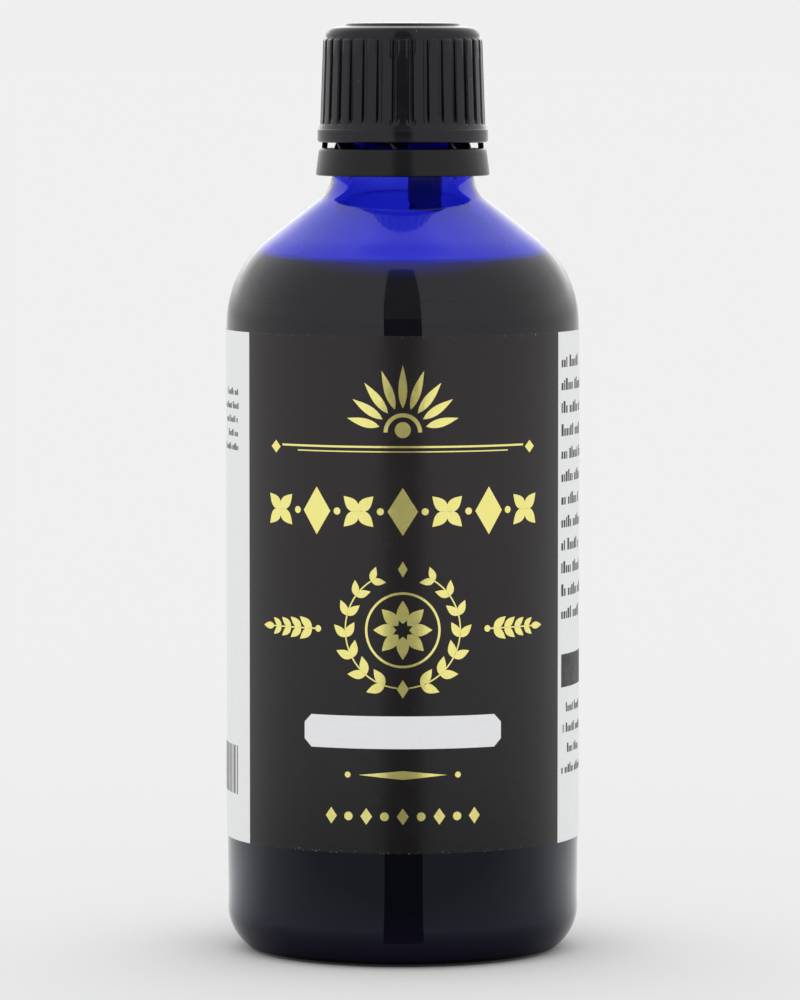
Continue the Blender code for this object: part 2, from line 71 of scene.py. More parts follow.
# Fill. Between the dark heights the outside of the glass has bitters right behind it.
LIQUID_LEVEL = 87.55
MENISCUS = 0.7
DARK_HEIGHTS = (0.9, 72.0)

# Screw thread. A rise is how far the ridge stands out, and the run-out is a share of a turn.
LEAD = 3.0
THREAD_RUN_OUT = 0.11
NECK_THREAD_START = 105.75
NECK_THREAD_TURNS = 1.75
NECK_THREAD_RISE = 0.93
CAP_THREAD_START = 107.25
CAP_THREAD_TURNS = 1.55
CAP_THREAD_RISE = 0.95

# Tamper ring
BRIDGE_COUNT = 8
BRIDGE_FOOT = 102.4
BRIDGE_TIP = 103.2

# Cap. A draft is how far a side leans in for each millimetre up.
CAP_BORE = 9.3
RIB_COUNT = 32
RIB_FOOT = 105.5
RIB_TOP = 116.08
CREST_RADIUS = 10.515
CREST_DRAFT = 0.0352
GROOVE_FOOT = 106.6
GROOVE_RADIUS = 9.945
GROOVE_DRAFT = 0.0148
RIM_RADIUS = 9.8
DISC_RADIUS = 7.15
DISC_DOME = 0.23
CAP_TOP = 118.6

# Label
LABEL_RADIUS = 22.58
LABEL_FOOT = 14.7
LABEL_TOP = 79.5
LABEL_REACH = 176.2
DARK_EDGES = (-59.0, 60.3)

# Studio
STUDIO_LIGHT = 0.9
BACK_LIGHT = 1.2
EDGE_LIGHT = 1.9
OVERHEAD_LIGHT = 0.55
BACKDROP_LIGHT = 0.867
FLOOR_WHITE = 0.94
FLOOR_REACH = 30000.0
GAP_DISTANCE = 550.0
TABLE_RADIUS = 145.0
UNDER_RADIUS = 30.0
# Painted shade on the table in front, and the painted shadow where the bottle stands
TABLE_FRONT_SHADE = 0.32
TABLE_SHADE = 0.09
TABLE_GLOW = 0.62

# Camera, solved from the photo
LENS = 230.8
CAMERA_PLACE = (-0.35, -818.8, 114.9)
CAMERA_TILT = 85.99


# Outlines
def arc(across, up, curve, start, end, steps):
    """Points of a circle's arc between two angles."""
    angles = [math.radians(start + (end - start) * step / steps) for step in range(steps + 1)]
    return [(across + curve * math.cos(a), up + curve * math.sin(a)) for a in angles]


def line(start, end, spacing):
    """Points from start to end, both included."""
    count = max(1, math.ceil(math.dist(start, end) / spacing))
    return [tuple(Vector(start).lerp(Vector(end), step / count)) for step in range(count + 1)]


def chain(*parts):
    """One outline out of several, without doubled points."""
    outline = []
    for point in (point for part in parts for point in part):
        if not outline or math.dist(point[:2], outline[-1][:2]) > 0.002:
            outline.append(point)
    return outline


def shaped(points, relief):
    """The same points with a relief, a function of angle and height that is added to the radius."""
    return [(point[0], point[1], relief) for point in points]


def ease(value):
    """A soft step from 0 to 1."""
    value = min(1.0, max(0.0, value))
    return value * value * (3.0 - 2.0 * value)


# Meshes
def even_angles(count):
    """Directions all round the axis, the first one to the front."""
    return [FRONT + TAU * number / count for number in range(count)]


def revolve(name, outline, angles, closed=False, middle=(0.0, 0.0)):
    """Turn an outline of (radius, height, relief) points about a vertical axis."""
    points, rows = [], []
    for radius, height, *relief in outline:
        if radius < 0.001:
            rows.append([len(points)] * len(angles))
            points.append((middle[0] * MM, middle[1] * MM, height * MM))
            continue
        rows.append(range(len(points), len(points) + len(angles)))
        for angle in angles:
            reach = radius + relief[0](angle, height) if relief else radius
            across, along = middle[0] + reach * math.cos(angle), middle[1] + reach * math.sin(angle)
            points.append((across * MM, along * MM, height * MM))
    faces = []
    for low, high in zip(rows, rows[1:] + (rows[:1] if closed else [])):
        for left in range(len(angles)):
            right = (left + 1) % len(angles)
            corners = tuple(dict.fromkeys((low[left], low[right], high[right], high[left])))
            if len(corners) > 2:
                faces.append(corners)
    mesh = bpy.data.meshes.new(name)
    mesh.from_pydata(points, [], faces)
    return mesh


def joined(name, meshes):
    """Several meshes as one."""
    build = bmesh.new()
    for mesh in meshes:
        build.from_mesh(mesh)
    mesh = bpy.data.meshes.new(name)
    build.to_mesh(mesh)
    build.free()
    return mesh


def faces_out(spot, normal):
    """Whether a face looks away from the bottle's axis."""
    return normal.x * spot.x + normal.y * spot.y > 0.0


def piece(mesh, body, materials, replaces=None, pick=None):
    """Put a mesh in the scene as a piece that rides on a body. pick gives a face's material."""
    build = bmesh.new()
    build.from_mesh(mesh)
    bmesh.ops.recalc_face_normals(build, faces=build.faces)
    if pick is not None:
        for face in build.faces:
            face.material_index = pick(face.calc_center_median() / MM, face.normal)
    build.to_mesh(mesh)
    build.free()
    mesh.shade_smooth()
    mesh.set_sharp_from_angle(angle=math.radians(SHARP_ANGLE))
    for material in materials:
        mesh.materials.append(material)
    thing = bpy.data.objects.new(mesh.name, mesh)
    bpy.context.collection.objects.link(thing)
    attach(thing, body)
    if replaces is not None:
        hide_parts(replaces)


# Materials
class Finish:
    """A Principled material with a little kit to feed its sockets from noise."""

    def __init__(self, name, **sockets):
        self.material = bpy.data.materials.new(name)
        self.material.use_nodes = True
        self.tree = self.material.node_tree
        self.shader = self.tree.nodes["Principled BSDF"]
        self.place = self.tree.nodes.new("ShaderNodeTexCoord").outputs["Object"]
        for socket, value in sockets.items():
            self.shader.inputs[socket.replace("_", " ")].default_value = value

    def node(self, kind, settings=None, **links):
        """A new node with its settings, and with its sockets fed by name."""
        made = self.tree.nodes.new(kind)
        for key, value in (settings or {}).items():
            setattr(made, key, value)
        for key, value in links.items():
            self.feed(made.inputs[key.replace("_", " ")], value)
        return made

    def feed(self, socket, value):
        """Link another node's output to a socket, or write a plain value into it."""
        if isinstance(value, bpy.types.NodeSocket):
            self.tree.links.new(value, socket)
        else:
            socket.default_value = value

    def set(self, socket, value):
        """Feed one of the shader's own sockets."""
        self.feed(self.shader.inputs[socket.replace("_", " ")], value)

    def along(self, axis):
        """The place along one axis, in metres."""
        return self.node("ShaderNodeSeparateXYZ", Vector=self.place).outputs[axis]

    def stretched(self, stretch):
        mapping = self.node("ShaderNodeMapping", Vector=self.place, Scale=stretch)
        return mapping.outputs["Vector"]

    def noise(self, scale, detail=2.0, stretch=None):
        """Noise with its scale in cells for each millimetre."""
        place = self.stretched(stretch) if stretch else self.place
        made = self.node("ShaderNodeTexNoise", Vector=place, Scale=scale / MM, Detail=detail)
        return made.outputs["Fac"]

    def span(self, source, low, high, to_low=0.0, to_high=1.0):
        """Carry a range of a value over to another range."""
        made = self.node(
            "ShaderNodeMapRange", Value=source, From_Min=low, From_Max=high, To_Min=to_low, To_Max=to_high
        )
        return made.outputs["Result"]

    def combine(self, kind, first, second):
        """Two values brought together by a math operation."""
        made = self.node("ShaderNodeMath", {"operation": kind})
        self.feed(made.inputs[0], first)
        self.feed(made.inputs[1], second)
        return made.outputs[0]

    def blend(self, share, first, second):
        """A mix of two colours, all first at a share of 0 and all second at 1."""
        made = self.node("ShaderNodeMix", {"data_type": "RGBA"})
        self.feed(made.inputs["Factor"], share)
        for name, value in (("A", first), ("B", second)):
            for socket in made.inputs:
                if socket.name == name and socket.type == "RGBA":
                    self.feed(socket, value if isinstance(value, bpy.types.NodeSocket) else (*value, 1.0))
        return next(socket for socket in made.outputs if socket.type == "RGBA")

    def bump(self, height, depth, strength):
        """Bump by a value from 0 to 1 that stands for this many millimetres."""
        made = self.node("ShaderNodeBump", Height=height, Strength=strength, Distance=depth * MM)
        self.set("Normal", made.outputs["Normal"])


def moulded_plastic(name, dark, light, low_gloss, high_gloss, dust=0.0, shine=0.5):
    """Moulded plastic: faint mottling, uneven gloss, a fine skin and some dust specks."""
    finish = Finish(name, IOR=1.46, Specular_IOR_Level=shine)
    mottle = finish.blend(finish.noise(0.35, 3.0), dark, light)
    finish.set("Roughness", finish.span(finish.noise(0.9, 4.0), 0.3, 0.7, low_gloss, high_gloss))
    if dust:
        specks = finish.span(finish.noise(2.6, 1.0), 0.79, 0.83, 0.0, dust)
        mottle = finish.blend(specks, mottle, (0.30, 0.30, 0.31))
    finish.set("Base Color", mottle)
    finish.bump(finish.noise(5.0, 2.0), 0.012, 0.5)
    return finish.material


def moulded_wave(finish):
    """The slow unevenness of moulded glass, drawn out along its height."""
    finish.bump(finish.noise(0.16, 1.0, (1.0, 1.0, 0.45)), 0.05, 0.35)


def blue_glass():
    """Cobalt glass that colours light by the depth it crosses. None comes back from under the fill."""
    finish = Finish("blue_glass", Roughness=0.0, IOR=1.48)
    height = finish.along("Z")
    opaque_top, clear_foot, white_foot = ((LIQUID_LEVEL - below) * MM for below in (4.9, 3.9, 3.1))
    neck_tint = finish.span(height, 91.0 * MM, 94.5 * MM)
    clear = finish.blend(neck_tint, (1.0, 1.0, 1.0), (1.0, 1.0, 0.9))
    over_fill = finish.span(height, clear_foot, white_foot)
    finish.set("Base Color", finish.blend(over_fill, (0.0, 0.0, 0.003), clear))
    finish.set("Transmission Weight", finish.span(height, opaque_top, clear_foot))
    moulded_wave(finish)
    depth = finish.node("ShaderNodeVolumeAbsorption", Color=(0.02, 0.12, 0.932, 1.0), Density=805.0)
    output = finish.tree.nodes["Material Output"]
    finish.tree.links.new(depth.outputs["Volume"], output.inputs["Volume"])
    return finish.material


def glass_on_bitters():
    """The outside of the glass low down, where nearly black bitters stands right behind it. Its bluish gloss
    tint is a painted reflection, and the bluer foot is painted light that comes up through the thick heel.
    """
    finish = Finish("glass_on_bitters", Roughness=0.0, IOR=1.55, Specular_Tint=(0.72, 0.80, 1.0, 1.0))
    # Painted light: bluer towards the heel, from 8 mm down to 3 mm.
    heel = finish.span(finish.along("Z"), 8.0 * MM, 3.0 * MM)
    finish.set("Base Color", finish.blend(heel, (0.001, 0.0015, 0.003), (0.004, 0.003, 0.0105)))
    moulded_wave(finish)
    return finish.material


def dark_liquid(name, ior):
    """Bitters: nearly black brown. Painted light makes it bluer where only a thin wedge of it lies against
    the glass, and pale blue at its rim.
    """
    finish = Finish(name, Roughness=0.03, IOR=ior)
    height = finish.along("Z")
    across = finish.along("X")
    # The wedge begins higher towards both sides
    bend = finish.combine("MULTIPLY", finish.combine("MULTIPLY", across, across), 8.7)
    bent = finish.combine("SUBTRACT", height, bend)
    wedge = finish.span(bent, (LIQUID_LEVEL - 1.8) * MM, (LIQUID_LEVEL + 0.4) * MM)
    rim = finish.span(height, (LIQUID_LEVEL + 0.25) * MM, (LIQUID_LEVEL + 0.6) * MM)
    # Painted light: the blue of the thin wedge and the pale blue of the rim stand for light that comes
    # through the glass and the thin bitters.
    wedge_light = finish.combine("MULTIPLY", wedge, wedge)
    color = finish.blend(wedge_light, (0.006, 0.004, 0.005), (0.04, 0.07, 0.55))
    finish.set("Base Color", finish.blend(rim, color, (0.25, 0.6, 1.0)))
    return finish.material


def printed_paper(name, dark, light, low_gloss, high_gloss, painted_low_shade=0.0):
    """Laminated paper: fibres, a slightly uneven gloss, and pale dust along the two cut edges.

    painted_low_shade is how much painted shade darkens the print towards its foot.
    """
    finish = Finish(name, IOR=1.45)
    fibres = finish.noise(3.2, 4.0, (1.0, 1.0, 0.35))
    height = finish.along("Z")
    color = finish.blend(fibres, dark, light)
    # Painted shade: the print is darkened from 60 mm down to 20 mm.
    if painted_low_shade:
        color = finish.blend(finish.span(height, 60.0 * MM, 20.0 * MM, 0.0, painted_low_shade), color, (0.0, 0.0, 0.0))
    near_foot = finish.span(height, (LABEL_FOOT + 0.4) * MM, LABEL_FOOT * MM)
    near_top = finish.span(height, (LABEL_TOP - 0.4) * MM, LABEL_TOP * MM)
    edge = finish.combine("MAXIMUM", near_foot, near_top)
    specks = finish.span(finish.noise(3.5, 1.0), 0.66, 0.76)
    color = finish.blend(finish.combine("MULTIPLY", edge, specks), color, (0.25, 0.25, 0.25))
    finish.set("Base Color", color)
    finish.set("Roughness", finish.span(finish.noise(0.5, 3.0), 0.3, 0.7, low_gloss, high_gloss))
    finish.bump(fibres, 0.02, 0.35)
    return finish.material


def foil():
    """Hot stamped gold foil: uneven polish with fine creases."""
    finish = Finish("gold_foil", Metallic=1.0)
    finish.set("Base Color", finish.blend(finish.noise(0.3, 3.0), (1.0, 0.89, 0.26), (1.0, 0.95, 0.36)))
    finish.set("Roughness", finish.span(finish.noise(1.5, 4.0), 0.3, 0.7, 0.16, 0.26))
    finish.bump(finish.noise(4.0, 3.0), 0.02, 0.14)
    return finish.material


def ink(name, dark, light):
    """Dry printing ink, a little uneven in tone and gloss."""
    finish = Finish(name, IOR=1.45)
    finish.set("Base Color", finish.blend(finish.noise(2.5, 4.0), dark, light))
    finish.set("Roughness", finish.span(finish.noise(0.8, 3.0), 0.3, 0.7, 0.45, 0.6))
    finish.bump(finish.noise(3.2, 3.0), 0.01, 0.4)
    return finish.material


def soft_foam():
    """White foam with fine cells."""
    finish = Finish("liner_foam", IOR=1.45)
    cells = finish.noise(6.0, 3.0)
    finish.set("Base Color", finish.blend(cells, (0.74, 0.74, 0.71), (0.86, 0.86, 0.84)))
    finish.set("Roughness", finish.span(cells, 0.3, 0.7, 0.75, 0.95))
    finish.bump(cells, 0.06, 0.6)
    return finish.material


# Thread
def thread_ridge(angle, height, start, turns, half_width, flank):
    """How far up a thread's ridge a point lies, from 0 to 1."""
    part_turn = (angle - FRONT) / TAU % 1.0
    best = 0.0
    for whole in range(math.ceil(turns)):
        turn = part_turn + whole
        if turn <= turns:
            run_out = ease(min(turn, turns - turn) / THREAD_RUN_OUT)
            away = abs(height - start - LEAD * turn)
            best = max(best, run_out * ease((half_width - away) / flank))
    return best


def neck_thread(angle, height):
    """The ridge that stands out of the neck."""
    return NECK_THREAD_RISE * thread_ridge(
        angle, height, NECK_THREAD_START, NECK_THREAD_TURNS, half_width=0.85, flank=0.55
    )


def cap_thread(angle, height):
    """The ridge that stands into the cap's bore."""
    return -CAP_THREAD_RISE * thread_ridge(
        angle, height, CAP_THREAD_START, CAP_THREAD_TURNS, half_width=0.55, flank=0.35
    )


# Glass and fill
def shoulder(inset, steps):
    """The round shoulder from the side up to the cone, moved into the glass by inset."""
    centre = BODY_RADIUS - SHOULDER_RADIUS
    return arc(centre, BODY_TOP, SHOULDER_RADIUS - inset, 0.0, SHOULDER_SLOPE - CONE_BOW, steps)


def neck_fillet(inset, steps):
    """The hollow round from the cone up to the neck, moved into the glass by inset."""
    centre = COLLAR_RADIUS + FILLET_RADIUS
    return arc(centre, NECK_START, FILLET_RADIUS + inset, 180.0 + SHOULDER_SLOPE + CONE_BOW, 180.0, steps)


def cone(inset):
    """The slightly bowed slope between shoulder and neck, tangent to both."""
    steps = 12
    start, end = Vector(shoulder(inset, 1)[-1]), Vector(neck_fillet(inset, 1)[0])
    reach = (end - start).length / 3.0
    low, high = math.radians(SHOULDER_SLOPE - CONE_BOW), math.radians(SHOULDER_SLOPE + CONE_BOW)
    after = start + reach * Vector((-math.sin(low), math.cos(low)))
    before = end - reach * Vector((-math.sin(high), math.cos(high)))

    def curve(far):
        near = 1.0 - far
        ends = near ** 3 * start + far ** 3 * end
        return tuple(ends + 3 * far * near ** 2 * after + 3 * far * far * near * before)

    return [curve(step / steps) for step in range(steps + 1)]


def inside_foot(grow):
    """Floor and inner heel, from the axis to the side, moved into the glass by grow."""
    edge = BORE_RADIUS - INNER_HEEL_RADIUS
    middle = FLOOR_EDGE + FLOOR_DOME - grow
    floor = [(edge * part / 8, middle - FLOOR_DOME * (part / 8) ** 2) for part in range(9)]
    return chain(floor, arc(edge, INNER_HEEL_TOP, INNER_HEEL_RADIUS + grow, -90.0, 0.0, 10))


def ripple(angle, height):
    """The inside of moulded glass is never quite round: a slow wander of the wall."""
    depth, start, end, fading = 0.11, 6.0, 97.0, 6.0
    spot = Vector((1.6 * math.cos(angle), 1.6 * math.sin(angle), height * 0.07))
    return depth * ease((height - start) / fading) * ease((end - height) / fading) * noise.noise(spot)


def collar_outline():
    """The hollow over the shoulder, the collar that holds the ring, and its slope up to the threads."""
    groove, collar_foot, collar_top, rounding = 8.45, 101.4, 102.2, 0.4
    return chain(
        line((COLLAR_RADIUS, 99.4), (groove, 99.9), 0.3),
        line((groove, 100.9), (COLLAR_RADIUS, collar_foot), 0.3),
        line((COLLAR_RADIUS, collar_foot), (COLLAR_RADIUS, collar_top), 0.5),
        arc(COLLAR_RADIUS - rounding, collar_top, rounding, 0.0, 31.0, 4),
        line((8.9, 102.5), (8.15, 103.78), 0.4),
    )


def glass_outline():
    """From the middle of the base up the outside, over the lip and down the inside."""
    punt_edge = 0.12
    hollow = PUNT_DEPTH - punt_edge
    outside = chain(
        [(PUNT_RADIUS * part / 10, punt_edge + hollow * (1.0 - (part / 10) ** 2)) for part in range(11)],
        [(17.575, 0.0)],
        arc(BODY_RADIUS - HEEL_RADIUS, HEEL_TOP, HEEL_RADIUS, -60.0, 0.0, 14),
        line((BODY_RADIUS, HEEL_TOP), (BODY_RADIUS, BODY_TOP), 6.0),
        shoulder(0.0, 22),
        cone(0.0),
        neck_fillet(0.0, 14),
        collar_outline(),
    )
    outer_round, inner_round = 0.6, 0.5
    threaded = line((ROOT_RADIUS, 103.98), (ROOT_RADIUS, LIP_HEIGHT - outer_round), 0.13)
    lip = chain(
        arc(ROOT_RADIUS - outer_round, LIP_HEIGHT - outer_round, outer_round, 0.0, 90.0, 5),
        arc(NECK_BORE_RADIUS + inner_round, LIP_HEIGHT - inner_round, inner_round, 90.0, 180.0, 4),
        line((NECK_BORE_RADIUS, LIP_HEIGHT - inner_round), (NECK_BORE_RADIUS, NECK_BORE_FOOT), 2.0),
    )
    inside = chain(
        line((NECK_BORE_RADIUS, NECK_BORE_FOOT), (COLLAR_RADIUS - WALL, NECK_START), 1.0),
        neck_fillet(WALL, 14)[::-1],
        cone(WALL)[::-1],
        shoulder(WALL, 18)[::-1],
        line((BORE_RADIUS, BODY_TOP), (BORE_RADIUS, INNER_HEEL_TOP), 3.0),
        inside_foot(0.0)[::-1],
    )
    return chain(outside, shaped(threaded, neck_thread), lip, shaped(inside, ripple))


def make_glass():
    def on_bitters(spot, normal):
        return int(faces_out(spot, normal) and DARK_HEIGHTS[0] < spot.z < DARK_HEIGHTS[1])

    glass = revolve("glass_body", glass_outline(), even_angles(192))
    piece(glass, "bottle", [blue_glass(), glass_on_bitters()], "glass_bottle", pick=on_bitters)


def bitters_outline():
    """The fill reaches a hair into the glass, and its surface curls up where it wets the wall."""
    grow = 0.16
    side = chain(
        inside_foot(grow),
        line((BORE_RADIUS + grow, INNER_HEEL_TOP), (BORE_RADIUS + grow, BODY_TOP), 6.0),
        [point for point in shoulder(WALL - grow, 60) if point[1] < LIQUID_LEVEL + MENISCUS],
    )
    rim = side[-1][0] - 0.2
    rise = MENISCUS - 0.05
    curl = [(rim - 0.35 * part, LIQUID_LEVEL + rise * math.exp(-0.6 * part)) for part in range(9)]
    return chain(side, curl, [(curl[-1][0], LIQUID_LEVEL), (0.0, LIQUID_LEVEL)])


def make_bitters():
    def on_surface(spot, normal):
        return int(spot.z > LIQUID_LEVEL - 0.1 and normal.z > 0.3)

    fill = revolve("bitters_fill", bitters_outline(), even_angles(128))
    liquid = [dark_liquid("bitters_at_the_wall", 1.12), dark_liquid("bitters_surface", 1.36)]
    piece(fill, "bottle", liquid, "bitters_liquid", pick=on_surface)


# Closure
def ring_outline():
    """A drafted band with a soft top edge, and a catch inside that holds it under the collar."""
    foot, rounding = 99.23, 0.2
    bore, catch, catch_height = 9.33, 8.75, 100.39
    return chain(
        arc(10.87, foot, rounding, -90.0, 0.0, 4),
        line((11.07, 99.3), (10.92, 100.63), 0.7),
        line((10.92, 100.63), (10.72, 102.05), 0.7),
        arc(10.3, 102.13, 0.4, 5.0, 90.0, 6),
        arc(bore + rounding, 102.33, rounding, 90.0, 180.0, 3),
        [(bore, catch_height + 0.4), (catch + 0.03, catch_height + 0.2), (catch, catch_height)],
        [(catch + 0.03, catch_height - 0.2), (bore, catch_height - 0.4)],
        arc(bore + rounding, foot, rounding, 180.0, 270.0, 3),
    )


def bridges():
    """The slanted tongues that tie ring and cap together until the cap is first turned."""
    inner, outer, crown, middle_radius = 9.66, 10.32, 10.37, 10.35
    foot_half_width, taper, lean = 0.26, 0.09, 0.62
    offset = math.radians(-4.8)
    build = bmesh.new()
    for number in range(BRIDGE_COUNT):
        foot_angle = FRONT + offset + TAU * number / BRIDGE_COUNT
        rows = []
        for share in (0.0, 0.25, 0.5, 0.75, 1.0):
            height = BRIDGE_FOOT + (BRIDGE_TIP - BRIDGE_FOOT) * share
            half = (foot_half_width - taper * ease(share)) / middle_radius
            centre = foot_angle - lean * share / middle_radius
            corners = (
                (inner, -half), (outer, -half), (crown, -0.6 * half),
                (crown, 0.6 * half), (outer, half), (inner, half),
            )
            rows.append([
                build.verts.new((r * math.cos(centre + a) * MM, r * math.sin(centre + a) * MM, height * MM))
                for r, a in corners
            ])
        build.faces.new(rows[0][::-1])
        build.faces.new(rows[-1])
        for low, high in zip(rows, rows[1:]):
            for left in range(len(low)):
                right = (left + 1) % len(low)
                build.faces.new((low[left], low[right], high[right], high[left]))
    mesh = bpy.data.meshes.new("ring_bridges")
    build.to_mesh(mesh)
    build.free()
    return mesh


def make_ring():
    tones = (0.003, 0.003, 0.004), (0.005, 0.005, 0.007)
    black = moulded_plastic("ring_plastic", *tones, 0.16, 0.25, 0.4, 0.35)
    ring = revolve("safety_ring", ring_outline(), even_angles(160), closed=True)
    piece(ring, "ring", [black], "tamper_ring")
    piece(bridges(), "ring", [black])


def rib_angles():
    """Directions that crowd at the corners of the ribs."""
    shares = (-0.455, -0.41, -0.395, -0.375, -0.35, -0.325, -0.29, -0.15, 0.0)
    shares += tuple(-share for share in shares[:-1][::-1])
    pitch = TAU / RIB_COUNT
    return [FRONT + pitch * (number + share) for number in range(RIB_COUNT) for share in shares]


def rib_share(angle):
    """1 on the crest of a rib, 0 in a groove."""
    half_foot, flank = 0.405, 0.105
    turn = (angle - FRONT) / TAU * RIB_COUNT
    away = abs(turn - round(turn))
    return ease((half_foot - away) / flank)


def crest_radius(height):
    return CREST_RADIUS - CREST_DRAFT * (height - RIB_FOOT)


def crests(rise):
    """A relief that raises the ribs this far out of their grooves."""
    return lambda angle, height: rise * rib_share(angle)


def cap_ribs():
    """Ribs that come out of a slope over the bead, and are rounded off under the rim."""
    slope = [(10.42, 105.62), (10.27, 105.82), (10.12, 106.05), (10.0, 106.3), (GROOVE_RADIUS, GROOVE_FOOT)]
    heights = [GROOVE_FOOT + (RIB_TOP - GROOVE_FOOT) * step / 8 for step in range(1, 9)]
    grooves = [(GROOVE_RADIUS - GROOVE_DRAFT * (height - GROOVE_FOOT), height) for height in heights]
    ribs = [(10.53, RIB_FOOT, crests(0.0))]
    ribs += [(groove, height, crests(crest_radius(height) - groove)) for groove, height in slope + grooves]
    for turned in (25.0, 50.0, 70.0, 85.0):
        height = RIB_TOP + 0.31 * math.sin(math.radians(turned))
        ribs.append((RIM_RADIUS, height, crests(0.33 * math.cos(math.radians(turned)))))
    return ribs


def cap_outline():
    """From the crown down the threaded bore, round the foot, up the ribs and in over the raised disc."""
    inside = chain(
        [(0.0, 116.6), (5.0, 116.6)],
        arc(CAP_BORE - 0.3, 116.3, 0.3, 90.0, 0.0, 3),
        line((CAP_BORE, 115.15), (8.85, 114.93), 0.3),
        line((8.85, 114.87), (CAP_BORE, 114.65), 0.3),
        [(CAP_BORE, 112.6)],
        shaped(line((CAP_BORE, 112.4), (CAP_BORE, 103.9), 0.15), cap_thread),
    )
    foot = chain(
        [(CAP_BORE, 103.7)],
        arc(CAP_BORE + 0.25, 103.5, 0.25, 180.0, 270.0, 3),
        arc(10.58, 103.55, 0.3, -90.0, 0.0, 4),
        arc(10.63, 104.75, 0.25, 0.0, 65.0, 4),
        line((10.735, 104.98), (10.56, 105.42), 0.3),
    )
    rim = chain(
        [(RIM_RADIUS, 116.44), (RIM_RADIUS, 116.8)],
        arc(8.75, 116.82, 1.05, 0.0, 82.0, 9),
        [(7.75, 118.0), (7.62, 118.03), (7.52, 118.12), (7.42, 118.26), (7.3, 118.34)],
    )
    outward = [part / 8 for part in range(8, -1, -1)]
    dome = [(DISC_RADIUS * share, CAP_TOP - DISC_DOME * share ** 2) for share in outward]
    return chain(inside, foot, cap_ribs(), rim, dome)


def make_cap():
    """The cap has a moulded skin, and the narrow ledge round its disc is polished."""
    tones = (0.004, 0.0035, 0.0065), (0.007, 0.006, 0.011)
    black = moulded_plastic("black_plastic", *tones, 0.1, 0.17, 0.5, 0.4)
    polished = moulded_plastic("black_plastic_polished", *tones, 0.04, 0.08, 0.0, 0.9)

    def on_ledge(spot, normal):
        return int(117.8 < spot.z < 118.05 and normal.z > 0.9)

    shell = revolve("screw_cap", cap_outline(), rib_angles())
    piece(shell, "cap", [black, polished], "cap_shell", pick=on_ledge)


def make_liner():
    radius, foot, top, rounding = 9.05, 115.2, 116.55, 0.2
    disc = chain(
        [(0.0, foot)],
        arc(radius - rounding, foot + rounding, rounding, -90.0, 0.0, 3),
        arc(radius - rounding, top - rounding, rounding, 0.0, 90.0, 3),
        [(0.0, top)],
    )
    foam = revolve("sealing_disc", disc, even_angles(96))
    piece(foam, "liner", [soft_foam()], "cap_liner")


def insert_outline():
    """Flange, recessed plate and plug skirt with three sealing ribs."""
    seat = LIP_HEIGHT
    skirt, rib = 5.1, 5.5
    plug = [(4.4, seat - 0.2), (4.4, 105.3), (4.55, 105.2), (4.85, 105.2), (skirt, 105.5)]
    for number in range(3):
        middle = seat + 0.3 - (3 - number) * 2.2
        plug += [(skirt, middle - 0.4), (rib, middle - 0.06), (rib, middle + 0.06), (skirt, middle + 0.4)]
    return chain(
        [(0.0, seat - 0.2)],
        plug,
        [(skirt, 112.75), (5.45, 113.0), (5.45, seat + 0.02), (7.4, seat + 0.02)],
        arc(7.35, seat + 0.27, 0.25, -90.0, 0.0, 3),
        arc(7.35, seat + 1.05, 0.25, 0.0, 90.0, 4),
        arc(7.1, seat + 1.15, 0.15, 90.0, 180.0, 3),
        arc(6.75, seat + 0.8, 0.2, 0.0, -90.0, 3),
        [(0.0, seat + 0.6)],
    )


def tube(name, outer, inner, low, high, across):
    """A short pipe beside the axis, with bevelled ends."""
    bevel = min(0.15, (outer - inner) / 3.0)
    outline = [
        (inner, low + bevel), (inner + bevel, low), (outer - bevel, low), (outer, low + bevel),
        (outer, high - bevel), (outer - bevel, high), (inner + bevel, high), (inner, high - bevel),
    ]
    return revolve(name, outline, even_angles(40), closed=True, middle=(across, 0.0))


def make_insert():
    natural = moulded_plastic("natural_plastic", (0.52, 0.53, 0.51), (0.62, 0.63, 0.61), 0.3, 0.42)
    plate = revolve("dropper_plug", insert_outline(), even_angles(96))
    pipe = tube("dropper_air_tube", outer=2.18, inner=1.3, low=93.7, high=LIP_HEIGHT, across=2.85)
    nozzle = tube("dropper_nozzle", outer=1.35, inner=0.6, low=113.7, high=114.75, across=-1.9)
    whole = joined("dropper_insert_fitted", [plate, pipe, nozzle])
    piece(whole, "bottle", [natural], "dropper_insert")


